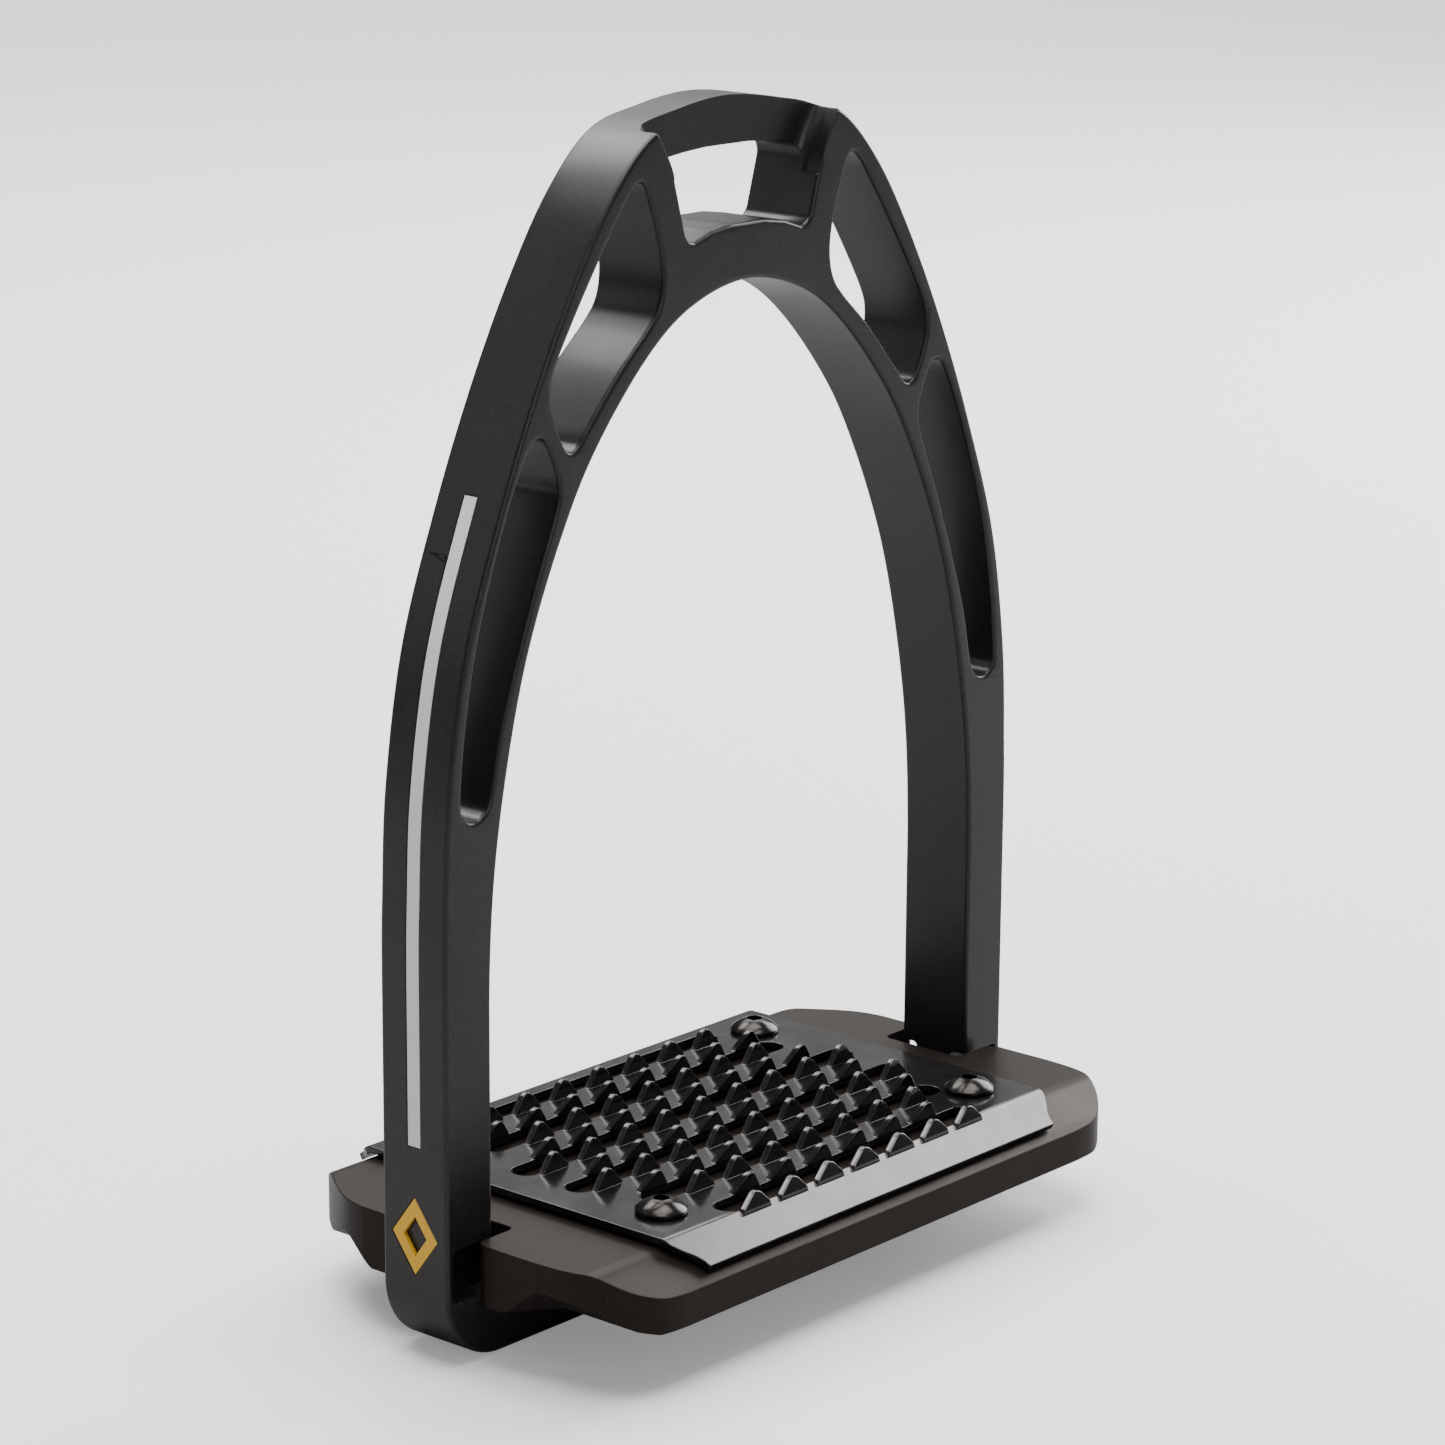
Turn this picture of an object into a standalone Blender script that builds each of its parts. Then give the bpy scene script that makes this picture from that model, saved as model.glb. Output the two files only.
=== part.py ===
"""Jumping stirrup iron: a machined bow, a cast tread, a toothed grip plate and their fasteners.

Millimetres here are turned into metres as each object is made. X runs across the bow, -Y is the
front, +Z is up, and the origin is on the ground under the middle of the bow's bottom bar.
"""

import math

import bmesh
import bpy
from mathutils import Matrix, Vector

MM = 0.001
GAP = 0.3  # clearance between pieces that touch
OVER = 4.0  # how far a cutter runs past the face it cuts
SLIVER = 0.1  # keeps a cutter's edge off the edge of the piece

# Bow: one closed loop, flat front and back
BOW_DEPTH = 14.0
BOW_EDGE = 0.8  # edge rounding
INNER_HALF = 60.0  # half of the foot opening
ARM_THICK = 10.2
BAR_THICK = 10.0
BOW_HEIGHT = 192.1
OUTER_CORNER = 12.0
INNER_CORNER = 4.0
SHOULDER = [
    (12.0, 190.8), (22.9, 188.0), (32.4, 179.3), (41.1, 166.6), (49.8, 150.7),
    (57.9, 132.7), (65.1, 113.0), (68.9, 92.0), (69.95, 74.0),
]
ARM_STRAIGHT_TOP = 62.0
ARCH_TOP = 163.4
ARCH = [
    (13.5, 160.4), (24.3, 153.3), (35.9, 140.7), (43.6, 128.2), (50.8, 112.2), (55.5, 95.7), (58.8, 77.2),
]
ARCH_STRAIGHT_TOP = 58.0
STRAIGHT_RUN = 25.0  # how far below its top an arm's straight is sampled
UPPER_WINDOW = [
    (25.1, 180.9), (22.6, 175.6), (20.7, 169.5), (20.3, 165.0), (21.2, 161.2), (23.5, 158.6),
    (30.3, 152.6), (37.9, 144.5), (40.0, 142.0), (41.6, 141.5), (43.2, 143.0), (45.3, 147.2),
    (46.2, 151.6), (45.0, 155.6), (39.0, 165.4), (32.0, 175.2), (27.9, 179.6),
]
LOWER_SLOT = [
    (48.6, 144.4), (46.8, 143.0), (44.9, 139.2), (44.2, 136.4), (44.9, 132.6), (50.8, 118.6),
    (57.1, 101.4), (59.7, 90.8), (61.4, 88.0), (63.7, 87.4), (65.5, 88.6), (66.1, 91.4),
    (64.8, 102.9), (61.7, 116.9), (56.2, 132.2), (51.3, 142.2),
]

# Leather slot at the top of the bow, with the bar set back from the front
SLOT_FLOOR = 171.8
SLOT_FLOOR_CROWN = 0.7
SLOT_FLOOR_DIP = 1.2  # fall of the floor from its shoulders to its corners
SLOT_FLOOR_KNOTS = (9.0, 4.0)
SLOT_HALF_BOTTOM = 15.4
SLOT_HALF_TOP = 17.6
SLOT_ROOF_SIDE = 183.4
SLOT_ROOF_CROWN = 0.9
SLOT_ROOF_FLAT = 5.0  # half of the level middle of the roof
SLOT_ROOF_FALL = 0.35  # fall of the roof from its level middle to twice as far out
SLOT_CORNER = 2.6
SLOT_DRAFT = 8.0  # lean of the slot's side walls, in degrees
RECESS_WALL = [(17.3, 178.4), (18.2, 181.8), (19.6, 184.6), (21.5, 187.6), (23.4, 190.4), (26.0, 196.0)]
RECESS_DEPTH = 5.0

# Pocket in each arm beside the tread, and the inlays on the outer faces
POCKET_DEPTH = 3.4
POCKET_OUTER = 68.9
POCKET_BOTTOM = 10.6
POCKET_TOP = 19.5
POCKET_INNER = INNER_HALF - 2.0
INLAY_DEPTH = 0.8
INLAY_THICK = 0.5
INLAY_OVER = 2.0
STRIP_WIDTH = 2.6
STRIP_BOTTOM = 35.4
STRIP_TOP = 136.0
EMBLEM_HEIGHT = 12.6
EMBLEM_WIDTH = 9.6
EMBLEM_HOLE_HEIGHT = 6.5
EMBLEM_HOLE_WIDTH = 4.8
EMBLEM_CENTRE = 20.7

# Tread
TREAD_BOTTOM = BAR_THICK + GAP
TREAD_TOP = 20.3
TREAD_HALF_WIDTH = 65.5
TREAD_HALF_DEPTH = 39.2
FRONT_CORNER = [(56.6, -38.2), (61.6, -34.4), (64.6, -28.5)]
BACK_CORNER = [(64.2, 21.5), (60.6, 27.4), (56.2, 33.0), (51.8, 37.4)]
SIDE_FRONT_END = -21.0
SIDE_BACK_END = 16.0
SIDE_RUN = (8.0, 6.0)  # lead-in of the curves at the ends of the side, front and back
FRONT_EDGE_HALF = 50.0
BACK_EDGE_HALF = 45.0
EDGE_RUN = 12.0
NOTCH_INNER = 56.4
NOTCH_HALF = 8.3
BEVEL_CREASE = 31.6
BEVEL_END = 37.9
BEVEL_DROP = 3.7
LIP_DROP = 1.0
HULL_TOP = 15.8
HULL_INSET = 7.6
LUG_HALF = 14.0
TREAD_EDGE = 0.5
TAP_OVER = 0.6  # depth of a tapped hole beyond its screw
RELIEF_DEPTH = 6.4
RELIEF_CORNER = 3.0
RELIEF_SIZE = (18.0, 17.0)
RELIEF_X = (-22.5, 0.0, 22.5)
RELIEF_Y = 21.5

# Grip plate: pressed sheet with teeth turned up along its slots
SHEET = 1.2
GRIP_GAP = 0.6
GRIP_TOP = TREAD_TOP + GRIP_GAP + SHEET
GRIP_HALF_WIDTH = 48.2
GRIP_CREASE = 32.3
FLANGE_REACH = 6.1
FLANGE_DROP = 4.0
FLANGE_TAPER = 4.2
STRIP_PITCH = 11.6
FIRST_STRIP = 21.7
STRIP_FRONT = 2.7  # from a strip's middle to its front edge
STRIP_BACK = 3.9
SLOT_WIDTH = STRIP_PITCH - STRIP_FRONT - STRIP_BACK
BACK_SLOT_WIDTH = 4.0
SLOT_END_FLAT = 0.2
TOOTH_PITCH = 9.1
TOOTH_BASE = 5.7
TOOTH_HEIGHT = 3.1
TOOTH_TIP = 1.1
TOOTH_TIP_ROUND = 0.3
TOOTH_FOOT = 0.2  # height of a tooth's upright foot
TOOTH_INSET = 0.05  # keeps a tooth's faces off the walls of its slot
SHORT_SLOT = 32.6
MIDDLE_SLOT = 37.0
LONG_SLOT = 42.0

# Fasteners
GRIP_SCREW_X = 39.4
GRIP_SCREW_Y = 23.9
GRIP_SCREW_SHANK = 4.0
GRIP_SCREW_LENGTH = 8.0
BUTTON_DIAMETER = 8.4
BUTTON_HEIGHT = 2.3
BUTTON_RIM = 0.5
BUTTON_SOCKET = 1.5
SHANK_CHAMFER = 0.4
GRIP_KEY = 2.5
TREAD_SCREW_X = 30.0
TREAD_SCREW_SHANK = 5.0
TREAD_SCREW_LENGTH = 12.0
CAP_DIAMETER = 8.5
CAP_HEIGHT = 5.0
CAP_CLEARANCE = 0.4
CAP_SOCKET = 2.6
CAP_CHAMFER = 0.4
CAP_SEAT = 5.4  # height of the screw's seat above the ground
TREAD_KEY = 4.0

SIDES = ((-1, "left"), (1, "right"))
ENDS = ((-1, "front"), (1, "back"))

BLACK_ANODISED = ((0.028, 0.026, 0.025), 0.42, 0.35)
TREAD_GREY = ((0.150, 0.120, 0.105), 0.48, 0.45)
GLOSS_BLACK = ((0.020, 0.019, 0.018), 0.16, 0.60)
DARK_STEEL = ((0.060, 0.055, 0.050), 0.22, 0.90)
BLACK_STEEL = ((0.025, 0.025, 0.026), 0.40, 0.80)
REFLECTIVE = ((0.60, 0.66, 0.70), 0.35, 0.0)
GOLD = ((0.72, 0.42, 0.04), 0.35, 0.30)


# Points and outlines

def smooth(knots, steps, closed=False):
    """Points of a Catmull-Rom curve through the knots, with the given steps between two knots."""
    count = len(knots)
    spans = count if closed else count - 1
    points = []
    for span in range(spans):
        if closed:
            a, b, c, d = (Vector(knots[(span + k) % count]) for k in (-1, 0, 1, 2))
        else:
            b, c = Vector(knots[span]), Vector(knots[span + 1])
            a = Vector(knots[span - 1]) if span else b * 2 - c
            d = Vector(knots[span + 2]) if span + 2 < count else c * 2 - b
        for step in range(steps):
            t = step / steps
            points.append(
                b + (c - a) * (t / 2)
                + (a * 2 - b * 5 + c * 4 - d) * (t * t / 2)
                + (b * 3 - a - c * 3 + d) * (t ** 3 / 2)
            )
    if not closed:
        points.append(Vector(knots[-1]))
    return points


def arc(centre, radius, start, end, steps):
    """Points of a circular arc, with its angles in degrees."""
    turn = (math.radians(start + (end - start) * step / steps) for step in range(steps + 1))
    x, y = centre
    return [Vector((x + radius * math.cos(a), y + radius * math.sin(a))) for a in turn]


def mirrored(points):
    """The points of a right-hand half, followed by their mirror image back to the start."""
    left = [Vector((-p.x, p.y)) for p in reversed(points)]
    return points + [p for p in left if abs(p.x) > 1e-6]


def rounded_rectangle(x, y, width, height, radius, steps=4):
    corners = [(1, 1, 0), (-1, 1, 90), (-1, -1, 180), (1, -1, 270)]
    points = []
    for sx, sy, start in corners:
        centre = (x + sx * (width / 2 - radius), y + sy * (height / 2 - radius))
        points += arc(centre, radius, start, start + 90, steps)
    return points


def bow_flank():
    """The right-hand outer line of the bow from its top down to the straight of the arm."""
    outer = INNER_HALF + ARM_THICK
    top = [(-SHOULDER[0][0], SHOULDER[0][1]), (0, BOW_HEIGHT)]
    knots = top + SHOULDER + [(outer, ARM_STRAIGHT_TOP), (outer, ARM_STRAIGHT_TOP - STRAIGHT_RUN)]
    steps = 5
    return smooth(knots, steps)[steps:-steps]


def bow_outer():
    outer = INNER_HALF + ARM_THICK
    corner = arc((outer - OUTER_CORNER, OUTER_CORNER), OUTER_CORNER, 0, -90, 8)
    return mirrored(bow_flank() + corner)


def bow_inner():
    top = [(-ARCH[0][0], ARCH[0][1]), (0, ARCH_TOP)]
    straight = [(INNER_HALF, ARCH_STRAIGHT_TOP), (INNER_HALF, ARCH_STRAIGHT_TOP - STRAIGHT_RUN)]
    knots = top + ARCH + straight
    steps = 5
    line = smooth(knots, steps)[steps:-steps]
    centre = (INNER_HALF - INNER_CORNER, BAR_THICK + INNER_CORNER)
    return mirrored(line + arc(centre, INNER_CORNER, 0, -90, 4))


def leather_slot():
    """A slot that widens upwards, with a crowned floor and a crowned roof."""
    floor = (SLOT_HALF_BOTTOM - SLOT_CORNER, SLOT_FLOOR + SLOT_CORNER - SLOT_FLOOR_DIP)
    roof = (SLOT_HALF_TOP - SLOT_CORNER, SLOT_ROOF_SIDE - SLOT_CORNER)
    crown = SLOT_ROOF_SIDE + SLOT_ROOF_CROWN
    falling = (SLOT_ROOF_FLAT * 2, crown - SLOT_ROOF_FALL)
    half = smooth([(SLOT_ROOF_FLAT, crown), falling, (roof[0], SLOT_ROOF_SIDE)], 2)[:-1]
    half += arc(roof, SLOT_CORNER, 90, -SLOT_DRAFT, 5)
    half += arc(floor, SLOT_CORNER, -SLOT_DRAFT, -90, 5)
    far, near = SLOT_FLOOR_KNOTS
    half += smooth([(far, SLOT_FLOOR), (near, SLOT_FLOOR + SLOT_FLOOR_CROWN)], 2)
    return mirrored(half)


# Objects

def new_material(name, look):
    colour, roughness, metallic = look
    material = bpy.data.materials.new(name)
    material.use_nodes = True
    shader = material.node_tree.nodes["Principled BSDF"]
    shader.inputs["Base Color"].default_value = (*colour, 1.0)
    shader.inputs["Roughness"].default_value = roughness
    shader.inputs["Metallic"].default_value = metallic
    return material


def clear_scene():
    for obj in list(bpy.data.objects):
        bpy.data.objects.remove(obj, do_unlink=True)


def new_collection(name, hidden=False):
    collection = bpy.data.collections.new(name)
    collection.hide_render = hidden
    bpy.context.scene.collection.children.link(collection)
    return collection


def as_mesh(obj, collection):
    """Turns a curve into a welded mesh object with the same name and place."""
    bpy.context.view_layer.update()
    graph = bpy.context.evaluated_depsgraph_get()
    mesh = bpy.data.meshes.new_from_object(obj.evaluated_get(graph))
    work = bmesh.new()
    work.from_mesh(mesh)
    bmesh.ops.remove_doubles(work, verts=work.verts, dist=1e-6)
    bmesh.ops.recalc_face_normals(work, faces=work.faces)
    work.to_mesh(mesh)
    work.free()
    name, place = obj.name, obj.matrix_world.copy()
    curve = obj.data
    bpy.data.objects.remove(obj, do_unlink=True)
    bpy.data.curves.remove(curve)
    made = bpy.data.objects.new(name, mesh)
    made.matrix_world = place
    collection.objects.link(made)
    return made


def outline_solid(name, outlines, low, high, collection, upright=False, edge=0.0):
    """A flat outline with its holes, filled from low to high: along Z, or along Y if upright."""
    curve = bpy.data.curves.new(name, "CURVE")
    curve.dimensions = "2D"
    curve.fill_mode = "BOTH"
    for points in outlines:
        spline = curve.splines.new("POLY")
        spline.points.add(len(points) - 1)
        spline.use_cyclic_u = True
        for target, point in zip(spline.points, points):
            target.co = (point[0] * MM, point[1] * MM, 0, 1)
    curve.extrude = ((high - low) / 2 - edge) * MM
    if edge:
        curve.bevel_depth = edge * MM
        curve.bevel_resolution = 1
        curve.offset = -edge * MM
    obj = bpy.data.objects.new(name, curve)
    collection.objects.link(obj)
    middle = (low + high) / 2 * MM
    obj.matrix_world = Matrix.Translation((0, 0, middle))
    if upright:
        obj.matrix_world = Matrix.Translation((0, middle, 0)) @ Matrix.Rotation(math.pi / 2, 4, "X")
    return as_mesh(obj, collection)


def side_solid(name, outlines, start, end, collection):
    """Outlines in Y and Z, filled along X between two places."""
    low, high = sorted((start, end))
    obj = outline_solid(name, outlines, low, high, collection)
    turn = Matrix.Rotation(math.pi / 2, 4, "Z") @ Matrix.Rotation(math.pi / 2, 4, "X")
    obj.matrix_world = turn @ obj.matrix_world
    return obj


def box(name, low, high, collection):
    bpy.ops.mesh.primitive_cube_add(size=1)
    obj = bpy.context.object
    obj.name = name
    size = [(b - a) * MM for a, b in zip(low, high)]
    middle = [(b + a) / 2 * MM for a, b in zip(low, high)]
    obj.data.transform(Matrix.Translation(middle) @ Matrix.Diagonal((*size, 1)))
    return move_to(obj, collection)


def cylinder(name, x, y, low, high, radius, collection, sides=24):
    bpy.ops.mesh.primitive_cylinder_add(vertices=sides, radius=radius * MM, depth=(high - low) * MM)
    obj = bpy.context.object
    obj.name = name
    obj.location = (x * MM, y * MM, (low + high) / 2 * MM)
    return move_to(obj, collection)


def move_to(obj, collection):
    for old in list(obj.users_collection):
        old.objects.unlink(obj)
    collection.objects.link(obj)
    return obj


def boolean(obj, other, operation="DIFFERENCE"):
    modifier = obj.modifiers.new(other.name, "BOOLEAN")
    modifier.operation = operation
    modifier.solver = "EXACT"
    modifier.object = other
    other.hide_render = True
    other.display_type = "WIRE"


def round_edges(obj, width, segments=2, angle=30):
    modifier = obj.modifiers.new("Edges", "BEVEL")
    modifier.width = width * MM
    modifier.segments = segments
    modifier.limit_method = "ANGLE"
    modifier.angle_limit = math.radians(angle)


def finish(obj, material, angle=35):
    obj.data.materials.clear()
    obj.data.materials.append(material)
    obj.data.shade_smooth()
    obj.data.set_sharp_from_angle(angle=math.radians(angle))
    return obj


# Bow

def bow_cutters(cutters):
    front = -BOW_DEPTH / 2
    recess = mirrored(smooth(RECESS_WALL, 2))
    found = [outline_solid("cut_recess", [recess], front - OVER, front + RECESS_DEPTH, cutters, upright=True)]
    arm_face = INNER_HALF + ARM_THICK
    for side, hand in SIDES:
        for face, end in ENDS:
            xs = sorted((side * POCKET_INNER, side * POCKET_OUTER))
            ys = sorted((face * (BOW_DEPTH / 2 - POCKET_DEPTH), face * (BOW_DEPTH / 2 + OVER)))
            low, high = (xs[0], ys[0], POCKET_BOTTOM), (xs[1], ys[1], POCKET_TOP)
            found.append(box(f"cut_pocket_{hand}_{end}", low, high, cutters))
        x = side * TREAD_SCREW_X
        radius = CAP_DIAMETER / 2 + CAP_CLEARANCE
        found.append(cylinder(f"cut_seat_{hand}", x, 0, -OVER, CAP_SEAT + GAP, radius, cutters))
        radius = TREAD_SCREW_SHANK / 2 + GAP
        found.append(cylinder(f"cut_bore_{hand}", x, 0, CAP_SEAT - 1, BAR_THICK + OVER, radius, cutters, 16))
        found.append(strip_solid(f"cut_strip_{hand}", side, -INLAY_DEPTH, INLAY_OVER, GAP, cutters))
        seat = lozenge(EMBLEM_WIDTH + 2 * GAP, EMBLEM_HEIGHT + 2 * GAP)
        start, end = side * (arm_face - INLAY_DEPTH), side * (arm_face + INLAY_OVER)
        found.append(side_solid(f"cut_emblem_{hand}", [seat], start, end, cutters))
    return found


def build_bow(parts, cutters):
    holes = []
    for knots in (UPPER_WINDOW, LOWER_SLOT):
        hole = smooth(knots, 3, closed=True)
        holes += [hole, [Vector((-p.x, p.y)) for p in hole]]
    half = BOW_DEPTH / 2
    outlines = [bow_outer(), bow_inner(), leather_slot(), *holes]
    bow = outline_solid("bow", outlines, -half, half, parts, upright=True, edge=BOW_EDGE)
    for cutter in bow_cutters(cutters):
        boolean(bow, cutter)
    return finish(bow, new_material("bow_black", BLACK_ANODISED))


# Inlays on the outer faces of the arms

def flank_between(low, high):
    """The right-hand outer line of the bow between two heights, top first, with unit normals."""
    line = bow_flank() + [Vector((INNER_HALF + ARM_THICK, OUTER_CORNER))]
    cut = []
    for a, b in zip(line, line[1:]):
        for level in (high, low):
            if b.y < level < a.y:
                cut.append(a.lerp(b, (a.y - level) / (a.y - b.y)))
        if low < b.y < high:
            cut.append(b)
    points = sorted(cut, key=lambda p: -p.y)
    placed = []
    for index, point in enumerate(points):
        along = points[min(index + 1, len(points) - 1)] - points[max(index - 1, 0)]
        placed.append((point, Vector((-along.y, along.x)).normalized()))
    return placed


def strip_solid(name, side, inner, outer, margin, collection):
    """A band that follows an arm's outer face, between two offsets from that face."""
    line = flank_between(STRIP_BOTTOM - margin, STRIP_TOP + margin)
    outline = [p + n * outer for p, n in line] + [p + n * inner for p, n in reversed(line)]
    if side < 0:
        outline = [Vector((-p.x, p.y)) for p in outline]
    half = STRIP_WIDTH / 2 + margin
    return outline_solid(name, [outline], -half, half, collection, upright=True)


def lozenge(width, height):
    centre = EMBLEM_CENTRE
    return [
        Vector((width / 2, centre)), Vector((0, centre + height / 2)),
        Vector((-width / 2, centre)), Vector((0, centre - height / 2)),
    ]


def build_inlays(parts):
    strip_look = new_material("strip_reflective", REFLECTIVE)
    emblem_look = new_material("emblem_gold", GOLD)
    inner = GAP - INLAY_DEPTH
    frame = [lozenge(EMBLEM_WIDTH, EMBLEM_HEIGHT), lozenge(EMBLEM_HOLE_WIDTH, EMBLEM_HOLE_HEIGHT)]
    for side, hand in SIDES:
        strip = strip_solid(f"reflective_strip_{hand}", side, inner, inner + INLAY_THICK, 0, parts)
        finish(strip, strip_look)
        start = side * (INNER_HALF + ARM_THICK + inner)
        emblem = side_solid(f"emblem_{hand}", frame, start, start + side * INLAY_THICK, parts)
        finish(emblem, emblem_look)


# Tread

def tread_outline():
    """Plan of the tread without its notches."""
    front_run, back_run = SIDE_RUN
    front = [(FRONT_EDGE_HALF - EDGE_RUN, -TREAD_HALF_DEPTH), (FRONT_EDGE_HALF, -TREAD_HALF_DEPTH)]
    front += FRONT_CORNER
    front += [(TREAD_HALF_WIDTH, SIDE_FRONT_END), (TREAD_HALF_WIDTH, SIDE_FRONT_END + front_run)]
    back = [(TREAD_HALF_WIDTH, SIDE_BACK_END - back_run), (TREAD_HALF_WIDTH, SIDE_BACK_END)]
    back += BACK_CORNER
    back += [(BACK_EDGE_HALF, TREAD_HALF_DEPTH), (BACK_EDGE_HALF - EDGE_RUN, TREAD_HALF_DEPTH)]
    steps = 3
    line = smooth(front, steps)[steps:-steps]
    line += smooth(back, steps)[steps:-steps]
    return mirrored(line)


def bevel_cutter(side, end, cutters):
    """Takes the slope and the narrow lip off the tread's front or back edge."""
    lip = TREAD_TOP - BEVEL_DROP - LIP_DROP
    outline = [
        Vector((side * BEVEL_CREASE, TREAD_TOP)),
        Vector((side * BEVEL_END, TREAD_TOP - BEVEL_DROP)),
        Vector((side * (TREAD_HALF_DEPTH + SLIVER), lip)),
        Vector((side * (TREAD_HALF_DEPTH + OVER), lip)),
        Vector((side * (TREAD_HALF_DEPTH + OVER), TREAD_TOP + OVER)),
        Vector((side * BEVEL_CREASE, TREAD_TOP + OVER)),
    ]
    reach = TREAD_HALF_WIDTH + OVER
    return side_solid(f"cut_bevel_{end}", [outline], -reach, reach, cutters)


def hull_cutter(side, face, name, cutters):
    """Draws the tread's underside in at one corner, leaving the lug beside the arm."""
    inner = side * (TREAD_HALF_WIDTH - HULL_INSET)
    outer = side * (TREAD_HALF_WIDTH + OVER)
    outline = [
        Vector((side * (TREAD_HALF_WIDTH + SLIVER), HULL_TOP)),
        Vector((inner, TREAD_BOTTOM)),
        Vector((inner, TREAD_BOTTOM - OVER)),
        Vector((outer, TREAD_BOTTOM - OVER)),
        Vector((outer, HULL_TOP)),
    ]
    near, far = sorted((face * LUG_HALF, face * (TREAD_HALF_DEPTH + OVER)))
    return outline_solid(name, [outline], near, far, cutters, upright=True)


def tread_cutters(cutters):
    found = [bevel_cutter(side, end, cutters) for side, end in ENDS]
    for side, hand in SIDES:
        for face, end in ENDS:
            found.append(hull_cutter(side, face, f"cut_hull_{hand}_{end}", cutters))
        near, far = sorted((side * NOTCH_INNER, side * (TREAD_HALF_WIDTH + OVER)))
        low, high = (near, -NOTCH_HALF, TREAD_BOTTOM - OVER), (far, NOTCH_HALF, TREAD_TOP + OVER)
        found.append(box(f"cut_notch_{hand}", low, high, cutters))
        low, high = TREAD_BOTTOM - OVER, CAP_SEAT + TREAD_SCREW_LENGTH + TAP_OVER
        radius = TREAD_SCREW_SHANK / 2 + GAP
        found.append(cylinder(f"cut_thread_{hand}", side * TREAD_SCREW_X, 0, low, high, radius, cutters, 16))
    for x in RELIEF_X:
        for side, end in ENDS:
            outline = rounded_rectangle(x, side * RELIEF_Y, *RELIEF_SIZE, RELIEF_CORNER)
            low, high = TREAD_BOTTOM - OVER, TREAD_BOTTOM + RELIEF_DEPTH
            found.append(outline_solid(f"cut_relief_{len(found)}", [outline], low, high, cutters))
    for index, (x, y) in enumerate(grip_screw_places()):
        low, high = GRIP_TOP - GRIP_SCREW_LENGTH - TAP_OVER, TREAD_TOP + OVER
        radius = GRIP_SCREW_SHANK / 2 + GAP
        found.append(cylinder(f"cut_tap_{index}", x, y, low, high, radius, cutters, 16))
    return found


def build_tread(parts, cutters):
    tread = outline_solid("tread_base", [tread_outline()], TREAD_BOTTOM, TREAD_TOP, parts)
    round_edges(tread, TREAD_EDGE)
    for cutter in tread_cutters(cutters):
        boolean(tread, cutter)
    return finish(tread, new_material("tread_grey", TREAD_GREY))


# Grip plate

def grip_section():
    """The bent sheet seen from the side: a flat with a flange turned down at the front and back."""
    slope = math.atan2(FLANGE_DROP, FLANGE_REACH)
    fold = SHEET * math.tan(slope / 2)
    end_y, end_z = GRIP_CREASE + FLANGE_REACH, GRIP_TOP - FLANGE_DROP
    crease = Vector((GRIP_CREASE, GRIP_TOP))
    tip = Vector((end_y, end_z))
    tip_under = Vector((end_y - SHEET * math.sin(slope), end_z - SHEET * math.cos(slope)))
    fold_under = Vector((GRIP_CREASE - fold, GRIP_TOP - SHEET))
    right = [crease, tip, tip_under, fold_under]
    return right + [Vector((-p.x, p.y)) for p in reversed(right)]


def tooth_outline(x):
    """A pointed tooth in X and Z, rooted inside the sheet."""
    root, foot, tip = GRIP_TOP - SHEET / 2, GRIP_TOP + TOOTH_FOOT, GRIP_TOP + TOOTH_HEIGHT
    half = TOOTH_BASE / 2
    right = [(half, root), (half, foot), (TOOTH_TIP / 2, tip - TOOTH_TIP_ROUND)]
    left = [(-dx, z) for dx, z in reversed(right)]
    return [Vector((x + dx, z)) for dx, z in [*right, (0, tip), *left]]


def slot_bands():
    """Each slot's front edge, back edge and half length."""
    bands = [(FIRST_STRIP + STRIP_BACK, FIRST_STRIP + STRIP_BACK + BACK_SLOT_WIDTH, SHORT_SLOT)]
    for index, half in enumerate((MIDDLE_SLOT, LONG_SLOT, LONG_SLOT, MIDDLE_SLOT, SHORT_SLOT)):
        back = FIRST_STRIP - STRIP_FRONT - index * STRIP_PITCH
        bands.append((back - SLOT_WIDTH, back, half))
    return bands


def tooth_rows():
    """Each row's front face, with the places of its teeth along X."""
    rows = []
    for index, (front, back, half) in enumerate(slot_bands()):
        reach = half - TOOTH_BASE / 2
        whole = [k * TOOTH_PITCH for k in range(-5, 6)]
        shifted = [x + TOOTH_PITCH / 2 for x in whole]
        rows.append((front - SHEET, [x for x in whole if abs(x) <= reach]))
        if index:
            rows.append((back, [x for x in shifted if abs(x) <= reach]))
    return rows


def taper_cutter(side, face, name, cutters):
    """Slants one end of a flange."""
    crease, tip = face * GRIP_CREASE, face * (GRIP_CREASE + FLANGE_REACH + 1)
    outer = side * (GRIP_HALF_WIDTH + OVER)
    outline = [
        Vector((side * (GRIP_HALF_WIDTH + SLIVER), crease)),
        Vector((side * (GRIP_HALF_WIDTH - FLANGE_TAPER), tip)),
        Vector((outer, tip)),
        Vector((outer, crease)),
    ]
    return outline_solid(name, [outline], GRIP_TOP - 2 * OVER, GRIP_TOP + OVER, cutters)


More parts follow.
